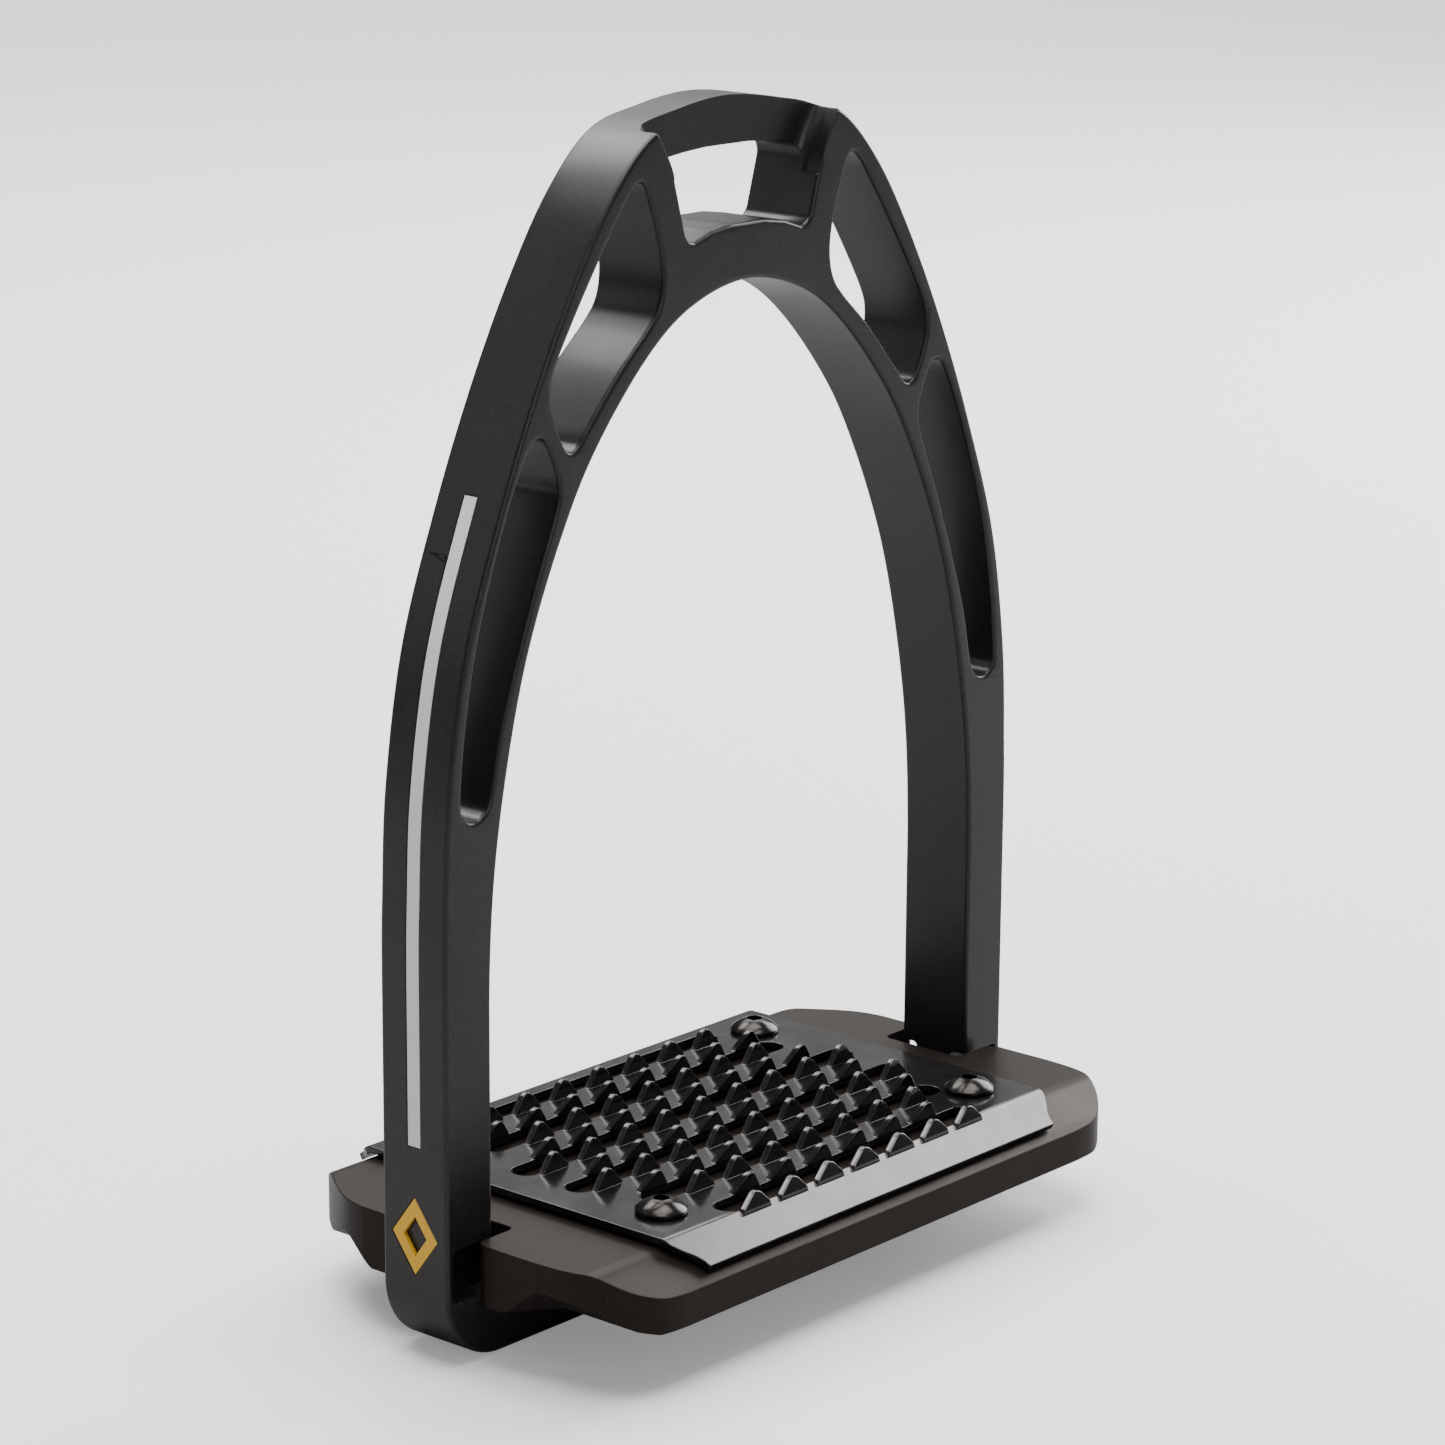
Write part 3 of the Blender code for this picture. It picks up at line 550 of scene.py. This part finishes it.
def flank_between(low, high):
    """The right-hand outer line between two heights, top first, with unit normals."""
    line = bow_flank() + [Vector((OUTER_HALF, OUTER_CORNER))]
    kept = []
    for a, b in zip(line, line[1:]):
        for level in (high, low):
            if b.y < level < a.y:
                kept.append(a.lerp(b, (a.y - level) / (a.y - b.y)))
        if low < b.y < high:
            kept.append(b)
    points = sorted(kept, key=lambda p: -p.y)
    placed = []
    for index, point in enumerate(points):
        along = points[min(index + 1, len(points) - 1)] - points[max(index - 1, 0)]
        placed.append((point, Vector((-along.y, along.x)).normalized()))
    return placed


def strip_solid(name, side, inner, outer, margin):
    """A strip along an arm, from inner to outer measured outward from the arm's face."""
    line = flank_between(STRIP_BOTTOM - margin, STRIP_TOP + margin)
    outline = [p + n * outer for p, n in line] + [p + n * inner for p, n in reversed(line)]
    if side < 0:
        outline = flipped(outline)
    half = STRIP_WIDTH / 2 + margin
    return outline_solid(name, [outline], -half, half, upright=True)


def lozenge(width, height):
    return [
        Vector((width / 2, EMBLEM_CENTRE)), Vector((0, EMBLEM_CENTRE + height / 2)),
        Vector((-width / 2, EMBLEM_CENTRE)), Vector((0, EMBLEM_CENTRE - height / 2)),
    ]


def round_inner_corners(tool, depth):
    """Rounds the edges where the recess's side walls meet its back."""
    top = RECESS_WALL[-1][1]
    work = bmesh.new()
    work.from_mesh(tool.data)
    rim = []
    for edge in work.edges:
        ends = [v.co / MM for v in edge.verts]
        deep = all(abs(p.y - depth) < NEAR for p in ends)
        wall = all(p.z < top - SLIVER for p in ends) and abs(ends[0].x - ends[1].x) < RECESS_WALL[0][0]
        if deep and wall and edge.calc_face_angle(0) > 0.8:
            rim.append(edge)
    bmesh.ops.bevel(work, geom=rim, offset=RECESS_FILLET * MM, segments=8, profile=0.5, affect="EDGES")
    work.to_mesh(tool.data)
    work.free()


def recess_tool():
    """The space in front of and above the leather bar, with rounded corners against the posts."""
    front = -BOW_DEPTH / 2
    outline = mirrored(smooth(RECESS_WALL, 6))
    tool = outline_solid("recess", [outline], front - 2 * OVER, front + RECESS_DEPTH, upright=True)
    round_inner_corners(tool, front + RECESS_DEPTH)
    return tool


def pocket_tool(side, face):
    """The recess in an arm's front or back face, beside the tread."""
    xs = sorted((side * POCKET_INNER, side * POCKET_OUTER))
    ys = sorted((face * (BOW_DEPTH / 2 - POCKET_DEPTH), face * (BOW_DEPTH / 2 + OVER)))
    pocket = box("pocket", (xs[0], ys[0], POCKET_BOTTOM), (xs[1], ys[1], POCKET_TOP))
    edge_bevel(pocket, POCKET_EDGE, 4)
    return pocket


def emblem_solid(name, side, shapes, inner, outer):
    """Flat shapes on an arm's outer face, from inner to outer measured outward from it."""
    ends = sorted((side * (OUTER_HALF + inner), side * (OUTER_HALF + outer)))
    return side_solid(name, shapes, *ends)


def bow_tools():
    round_head, over_head = CAP_CLEARANCE
    wider, taller = EMBLEM_CLEARANCE
    seat = lozenge(EMBLEM_WIDTH + wider, EMBLEM_HEIGHT + taller)
    tools = [recess_tool()]
    for side, _ in SIDES:
        tools += [pocket_tool(side, face) for face, _ in ENDS]
        x = side * TREAD_SCREW_X
        tools += [
            cylinder("seat", x, 0, -OVER, CAP_SEAT + over_head, CAP_DIAMETER / 2 + round_head),
            cylinder("bore", x, 0, CAP_SEAT - OVER, BAR_THICK + OVER, BORE_RADIUS, 32),
            strip_solid("strip_groove", side, -INLAY_DEPTH, GROOVE_OVER, STRIP_CLEARANCE),
            emblem_solid("emblem_seat", side, [seat], -INLAY_DEPTH, OVER),
        ]
    return tools


def build_bow():
    holes = []
    for knots in (UPPER_WINDOW, LOWER_SLOT):
        hole = smooth(knots, 8, closed=True)
        holes += [hole, flipped(hole)]
    half = BOW_DEPTH / 2
    outlines = [bow_outer(), bow_inner(), leather_slot(), *holes]
    bow = outline_solid("bow_body", outlines, -half, half, upright=True, edge=BOW_EDGE)
    cut(bow, bow_tools())
    satin = bead_blasted("bow_satin_black", BOW_COAT, roughness=0.33, edge=0.35, speckle=2200.0, gloss=0.52)
    dress(bow, satin, "bow")


def build_inlays():
    tape = speckled(
        "reflective_tape", (0.55, 0.62, 0.68), dark=(0.84, 0.87, 0.90), light=(0.95, 0.97, 0.99),
        roughness=0.35, metallic=0.0, scale=5000.0, detail=1.0, spread=(0.35, 0.65), bump=0.2,
    )
    gold = speckled(
        "gold_paint", (0.80, 0.46, 0.03), dark=(0.90, 0.47, 0.020), light=(1.0, 0.60, 0.040),
        roughness=0.35, metallic=0.2, scale=3000.0, detail=2.0, spread=(0.35, 0.65), bump=0.15,
    )
    narrower, lower = EMBLEM_HOLE
    shapes = [lozenge(EMBLEM_WIDTH, EMBLEM_HEIGHT), lozenge(narrower, lower)]
    for side, name in SIDES:
        strip = strip_solid(f"tape_{name}", side, -INLAY_BED, -TAPE_FACE, 0)
        dress(strip, tape, f"reflective_strip_{name}")
        emblem = emblem_solid(f"lozenge_{name}", side, shapes, -INLAY_BED, -EMBLEM_FACE)
        dress(emblem, gold, f"emblem_{name}")


# Tread

def tread_outline():
    front_run, back_run = SIDE_RUN
    front = [(FRONT_EDGE_HALF - EDGE_RUN, -TREAD_HALF_DEPTH), (FRONT_EDGE_HALF, -TREAD_HALF_DEPTH)]
    front += FRONT_CORNER
    front += [(TREAD_HALF_WIDTH, SIDE_FRONT_END), (TREAD_HALF_WIDTH, SIDE_FRONT_END + front_run)]
    back = [(TREAD_HALF_WIDTH, SIDE_BACK_END - back_run), (TREAD_HALF_WIDTH, SIDE_BACK_END)]
    back += BACK_CORNER
    back += [(BACK_EDGE_HALF, TREAD_HALF_DEPTH), (BACK_EDGE_HALF - EDGE_RUN, TREAD_HALF_DEPTH)]
    steps = 10
    return mirrored(smooth(front, steps)[steps:-steps] + smooth(back, steps)[steps:-steps])


def hull_section(grown):
    """The hull's cut in X and Z, from nothing at 0 to its full size at 1."""
    foot = TREAD_BOTTOM - HULL_UNDER
    below = TREAD_BOTTOM - OVER
    edge = TREAD_HALF_WIDTH + SLIVER
    far = TREAD_HALF_WIDTH + OVER
    top = foot + grown * (HULL_TOP - foot)
    inner = TREAD_HALF_WIDTH + SLIVER / 2 - grown * HULL_INSET
    curve = [(edge - grown * inset, TREAD_BOTTOM + grown * rise) for inset, rise in HULL_CURVE]
    return [(edge, top), *curve, (inner, foot), (inner, below), (far, below), (far, top)]


def hull_tool(side, face):
    """What is taken off under one end of the tread, growing smoothly from the lug beside the arm."""
    shares = [step / HULL_STEPS for step in range(HULL_STEPS + 1)]
    stations = [(LUG_HALF - HULL_LEAD + HULL_BLEND * t, t * t * (3 - 2 * t)) for t in shares]
    stations.append((TREAD_HALF_DEPTH + OVER, 1.0))
    mesh = bpy.data.meshes.new("hull")
    work = bmesh.new()
    rings = []
    for reach, grown in stations:
        section = hull_section(grown)
        rings.append([work.verts.new((side * x * MM, face * reach * MM, z * MM)) for x, z in section])
    for a, b in zip(rings, rings[1:]):
        for k in range(len(a)):
            following = (k + 1) % len(a)
            work.faces.new((a[k], a[following], b[following], b[k]))
    work.faces.new(rings[0])
    work.faces.new(rings[-1])
    bmesh.ops.recalc_face_normals(work, faces=work.faces)
    work.to_mesh(mesh)
    work.free()
    return link(bpy.data.objects.new("hull", mesh))


def bevel_tool(face):
    """The slope and the lip along the front or the back of the tread's top."""
    ledge = TREAD_TOP - BEVEL_DROP
    lip = ledge - LIP_DROP
    over = TREAD_TOP + OVER
    reach = TREAD_HALF_DEPTH + OVER
    knots = [(BEVEL_CREASE + out, TREAD_TOP + up) for out, up in BEVEL_BLEND]
    out, down = BEVEL_TAIL
    knots += [(BEVEL_END, ledge), (BEVEL_END + out, ledge - down)]
    line = smooth(knots, 6)[6:-6]
    start = line[0].x
    line += [Vector((TREAD_HALF_DEPTH + SLIVER, lip)), Vector((reach, lip))]
    line += [Vector((reach, over)), Vector((start, over))]
    outline = [Vector((face * p.x, p.y)) for p in line]
    return side_solid("bevel", [outline], -TREAD_HALF_WIDTH - OVER, TREAD_HALF_WIDTH + OVER)


def notch_tool(side):
    """The notch that takes an arm, with a rounded mouth."""
    corner = (NOTCH_INNER + NOTCH_CORNER, NOTCH_HALF - NOTCH_CORNER)
    mouth = (TREAD_HALF_WIDTH - NOTCH_MOUTH, NOTCH_HALF + NOTCH_MOUTH)
    half = arc(corner, NOTCH_CORNER, 180, 90, 6) + arc(mouth, NOTCH_MOUTH, -90, 0, 10)
    half.append(Vector((TREAD_HALF_WIDTH + OVER, mouth[1])))
    whole = half + [Vector((p.x, -p.y)) for p in reversed(half)]
    outline = [Vector((side * p.x, p.y)) for p in whole]
    return outline_solid("notch", [outline], TREAD_BOTTOM - OVER, TREAD_TOP + OVER)


def tread_tools():
    tools = []
    for side, _ in SIDES:
        tools += [bevel_tool(side), notch_tool(side)]
        tools += [hull_tool(side, face) for face, _ in ENDS]
    for x in RELIEF_X:
        for face, _ in ENDS:
            outline = rounded_rectangle(x, face * RELIEF_Y, *RELIEF_SIZE, RELIEF_CORNER)
            tools.append(outline_solid("relief", [outline], TREAD_BOTTOM - OVER, TREAD_BOTTOM + RELIEF_DEPTH))
    return tools


def round_lower_edge(tread):
    """Rounds the rim of the tread's underside."""
    work = bmesh.new()
    work.from_mesh(tread.data)
    out_x, out_y = RIM_FROM
    rim = []
    for edge in work.edges:
        ends = [v.co / MM for v in edge.verts]
        low = all(abs(p.z - TREAD_BOTTOM) < NEAR for p in ends)
        outer = all(abs(p.x) > out_x or abs(p.y) > out_y for p in ends)
        if low and outer and len(edge.link_faces) == 2 and edge.calc_face_angle(0) > 0.35:
            rim.append(edge)
    bmesh.ops.bevel(
        work, geom=rim, offset=LOWER_ROUND * MM, segments=4, profile=0.5, affect="EDGES", clamp_overlap=True
    )
    work.to_mesh(tread.data)
    work.free()


def build_tread():
    tread = outline_solid("tread_body", [tread_outline()], TREAD_BOTTOM, TREAD_TOP)
    cut(tread, tread_tools())
    round_lower_edge(tread)
    edge_bevel(tread, TREAD_EDGE, 3, 24)
    apply_modifiers(tread)
    satin = bead_blasted("tread_satin", TREAD_COAT, roughness=0.38, edge=0.45, speckle=1600.0, gloss=0.17)
    dress(tread, satin, "tread_base")


# Grip plate

def slot_bands():
    """Each slot's front edge, back edge and half length."""
    bands = [(FIRST_STRIP + STRIP_BACK, FIRST_STRIP + STRIP_BACK + BACK_SLOT_WIDTH, SHORT_SLOT)]
    for index, half in enumerate((MIDDLE_SLOT, LONG_SLOT, LONG_SLOT, MIDDLE_SLOT, SHORT_SLOT)):
        back = FIRST_STRIP - STRIP_FRONT - index * STRIP_PITCH
        bands.append((back - SLOT_WIDTH, back, half))
    return bands


def tooth(name, x, y, lean, low=False):
    """A pointed tooth whose sheet faces front and back, its tip leaning to the front by lean."""
    height, skew = (LOW_TOOTH_HEIGHT, LOW_TOOTH_SKEW) if low else (TOOTH_HEIGHT, 0.0)
    root = GRIP_TOP - SHEET * TOOTH_SUNK
    foot = [(half, root - down) for half, down in TOOTH_FOOT]
    flank = [(half, GRIP_TOP + height * share) for half, share in TOOTH_FLANK]
    beyond = (-flank[-1][0], flank[-1][1])
    right = smooth([*foot, *flank, (0.0, GRIP_TOP + height), beyond], 5)[5:-5]
    left = flipped(reversed(right[:-1]))
    outline = [Vector((x + p.x + skew * max(0.0, p.y - GRIP_TOP), p.y)) for p in right + left]
    obj = outline_solid(name, [outline], y, y + SHEET, upright=True, edge=TOOTH_EDGE, rounds=2)
    for vertex in obj.data.vertices:
        rise = max(0.0, vertex.co.z / MM - GRIP_TOP) / height
        vertex.co.y -= lean * rise * MM
    return obj


def build_teeth():
    """Teeth along the front edges of the slots, and between them along the back edges of all but the last."""
    teeth = []
    bands = slot_bands()
    for index, (front, back, half) in enumerate(bands):
        low = index == len(bands) - 1
        lean = LOW_TOOTH_LEAN if low else FRONT_TOOTH_LEAN
        reach = half - TOOTH_BASE / 2
        for k in range(-TEETH_EACH_WAY, TEETH_EACH_WAY + 1):
            x = k * TOOTH_PITCH
            if abs(x) <= reach:
                teeth.append(tooth(f"tooth_{index}_{k}", x, front - SHEET, lean, low))
            x = (k + 0.5) * TOOTH_PITCH
            if index and abs(x) <= reach:
                teeth.append(tooth(f"tooth_{index}_{k}_b", x, back, BACK_TOOTH_LEAN))
    return teeth


def sheet_outline():
    """The flat sheet before its flanges are bent down."""
    far = GRIP_CREASE + FLANGE_LENGTH
    end = GRIP_HALF_WIDTH - FLANGE_TAPER
    inward, outward = SHEET_TAIL
    knots = [(GRIP_HALF_WIDTH, SHEET_STRAIGHT)]
    knots += [(GRIP_HALF_WIDTH - inset, GRIP_CREASE + out) for inset, out in SHEET_CORNER]
    knots += [(end, far), (end - inward, far + outward)]
    corner = smooth(knots, 8)[8:-8]
    back = corner + flipped(reversed(corner))
    return back + [Vector((p.x, -p.y)) for p in reversed(back)]


def divide_at_creases(mesh):
    """Adds lines of vertices along the creases, so that the sheet bends there."""
    work = bmesh.new()
    work.from_mesh(mesh)
    for face, _ in ENDS:
        for step in range(BEND_STEPS + 1):
            y = face * (GRIP_CREASE - BEND_LENGTH / 2 + BEND_LENGTH * step / BEND_STEPS)
            geometry = work.verts[:] + work.edges[:] + work.faces[:]
            bmesh.ops.bisect_plane(work, geom=geometry, plane_co=(0, y * MM, 0), plane_no=(0, 1, 0))
    bmesh.ops.triangulate(work, faces=work.faces)
    work.to_mesh(mesh)
    work.free()


def bend(mesh):
    """Folds the sheet down along its front and back creases."""
    slope = math.radians(FLANGE_SLOPE)
    middle = BEND_RADIUS + SHEET
    start = GRIP_CREASE - BEND_LENGTH / 2
    for vertex in mesh.vertices:
        y, z = vertex.co.y / MM, vertex.co.z / MM
        face = 1 if y > 0 else -1
        beyond = abs(y) - start
        if beyond <= 0:
            continue
        turn = min(beyond / BEND_LENGTH, 1.0) * slope
        straight = max(beyond - BEND_LENGTH, 0.0)
        radius = middle - (GRIP_TOP - z)
        y = start + radius * math.sin(turn) + straight * math.cos(turn)
        z = GRIP_TOP - middle + radius * math.cos(turn) - straight * math.sin(turn)
        vertex.co.y, vertex.co.z = face * y * MM, z * MM


def build_grip():
    shapes = [sheet_outline()]
    for front, back, half in slot_bands():
        width = back - front
        radius = width / 2 - SLOT_END_FLAT
        shapes.append(rounded_rectangle(0, (front + back) / 2, 2 * half, width, radius))
    sheet = outline_solid("grip_sheet", shapes, GRIP_TOP - SHEET, GRIP_TOP, edge=SHEET_EDGE, rounds=1)
    divide_at_creases(sheet.data)
    bend(sheet.data)
    low, high = GRIP_TOP - SHEET - OVER, GRIP_TOP + OVER
    cut(sheet, [
        cylinder("hole", side * GRIP_SCREW_X, face * GRIP_SCREW_Y, low, high, SCREW_HOLE_RADIUS, 32)
        for side, _ in SIDES for face, _ in ENDS
    ])
    with bpy.context.temp_override(active_object=sheet, selected_editable_objects=[sheet, *build_teeth()]):
        bpy.ops.object.join()
    gloss = black_nickel("grip_gloss_black", (0.060, 0.058, 0.056), roughness=0.17)
    dress(sheet, gloss, "grip_plate")


# Fasteners

def turned(name, profile, steps=64):
    mesh = bpy.data.meshes.new(name)
    edges = [(i, i + 1) for i in range(len(profile) - 1)]
    mesh.from_pydata([(x * MM, 0, z * MM) for x, z in profile], edges, [])
    obj = link(bpy.data.objects.new(name, mesh))
    spin = obj.modifiers.new("Turn", "SCREW")
    spin.steps = steps
    spin.render_steps = steps
    spin.use_merge_vertices = True
    spin.merge_threshold = 1e-6
    return apply_modifiers(obj)


def button_profile():
    """Half of a dome-headed screw, with its seat at height 0."""
    radius = BUTTON_DIAMETER / 2
    dome = BUTTON_HEIGHT - BUTTON_RIM
    ball = (radius ** 2 + dome ** 2) / (2 * dome)
    steps = 14
    head = []
    for step in range(steps + 1):
        x = radius * step / steps
        head.append((x, BUTTON_HEIGHT - ball + math.sqrt(ball ** 2 - x ** 2)))
    shank, end = BUTTON_SHANK, -BUTTON_LENGTH
    tip = [(shank, end + SHANK_CHAMFER), (shank - SHANK_CHAMFER, end), (0, end)]
    return head + [(radius, 0), (shank, 0)] + tip


def cap_profile():
    """Half of a socket-head screw that points up, with its seat at height 0."""
    head, shank = CAP_DIAMETER / 2, CAP_SHANK
    tip = [(0, CAP_LENGTH), (shank - CAP_CHAMFER, CAP_LENGTH), (shank, CAP_LENGTH - CAP_CHAMFER), (shank, 0)]
    foot = [(head, CAP_CHAMFER - CAP_HEIGHT), (head - CAP_CHAMFER, -CAP_HEIGHT), (0, -CAP_HEIGHT)]
    return tip + [(head, 0)] + foot


def build_grip_screws():
    steel = speckled(
        "screw_dark_steel", (0.03, 0.028, 0.026), dark=(0.022, 0.020, 0.019), light=(0.045, 0.042, 0.038),
        roughness=0.2, metallic=0.8, scale=700.0, detail=3.0, spread=(0.3, 0.7), bump=0.1, edge=0.15,
    )
    for face, end in ENDS:
        for side, hand in SIDES:
            screw = turned(f"button_{end}_{hand}", button_profile())
            key = hexagon("key", BUTTON_HEIGHT - BUTTON_SOCKET, BUTTON_HEIGHT + OVER, BUTTON_KEY)
            key.data.transform(Matrix.Rotation(rng.uniform(0, 1.0), 4, "Z"))
            cut(screw, [key])
            place = (side * GRIP_SCREW_X, face * GRIP_SCREW_Y, GRIP_TOP + BUTTON_SEAT)
            screw.location = Vector(place) * MM
            dress(screw, steel, f"grip_screw_{end}_{hand}")


def build_tread_screws():
    oxide = speckled(
        "screw_black_oxide", (0.02, 0.02, 0.021), dark=(0.014, 0.014, 0.015), light=(0.03, 0.03, 0.032),
        roughness=0.4, metallic=0.7, scale=900.0, detail=3.0, spread=(0.3, 0.7), bump=0.15, edge=0.2,
    )
    for side, hand in SIDES:
        screw = turned(f"cap_{hand}", cap_profile())
        cut(screw, [hexagon("socket", -CAP_HEIGHT - OVER, CAP_SOCKET - CAP_HEIGHT, CAP_KEY)])
        screw.location = Vector((side * TREAD_SCREW_X, 0, CAP_SEAT)) * MM
        dress(screw, oxide, f"tread_screw_{hand}")


# Stage

def softbox(name, place, aim, size, power):
    data = bpy.data.lights.new(name, "AREA")
    data.shape = "RECTANGLE"
    data.size, data.size_y = size
    data.energy = power
    lamp = link(bpy.data.objects.new(name, data))
    lamp.location = place
    lamp.rotation_euler = (Vector(aim) - Vector(place)).to_track_quat("-Z", "Y").to_euler()


def floor_look():
    """A pale floor that throws less light back at the object than it shows."""
    material, tree, shader = shader_of("floor_pale", (0.95, 0.95, 0.95), 0.7, 0.0)
    seen = tree.nodes.new("ShaderNodeLightPath").outputs["Is Camera Ray"]
    tint(tree, shader, seen, (FLOOR_BOUNCE,) * 3, (FLOOR_SEEN,) * 3)
    shader.inputs["Emission Color"].default_value = (1.0, 1.0, 1.0, 1.0)
    tree.links.new(ramp(tree, seen, 0.0, FLOOR_GLOW, 0.0, 1.0), shader.inputs["Emission Strength"])
    return material


def build_stage():
    bpy.ops.mesh.primitive_plane_add(size=FLOOR_SIZE)
    floor = bpy.context.object
    floor.name = "floor"
    floor.location.z = -FLOOR_DROP
    floor.data.materials.append(floor_look())
    world = bpy.data.worlds.new("studio")
    bpy.context.scene.world = world
    world.use_nodes = True
    background = world.node_tree.nodes["Background"]
    background.inputs["Color"].default_value = (1.0, 1.0, 1.0, 1.0)
    background.inputs["Strength"].default_value = WORLD_LIGHT
    for light in LIGHTS:
        softbox(*light)


def build_camera():
    data = bpy.data.cameras.new("camera")
    data.sensor_width = CAMERA_SENSOR
    data.lens = CAMERA_LENS
    data.clip_start = 0.01
    camera = link(bpy.data.objects.new("camera", data))
    place = Vector(CAMERA_PLACE) * MM
    aim = Vector(CAMERA_AIM) * MM
    look = (aim - place).to_track_quat("-Z", "Y").to_matrix().to_4x4()
    roll = Matrix.Rotation(math.radians(CAMERA_ROLL), 4, "Z")
    camera.matrix_world = Matrix.Translation(place) @ look @ roll
    bpy.context.scene.camera = camera


build_bow()
build_inlays()
build_tread()
build_grip()
build_grip_screws()
build_tread_screws()
build_stage()
build_camera()
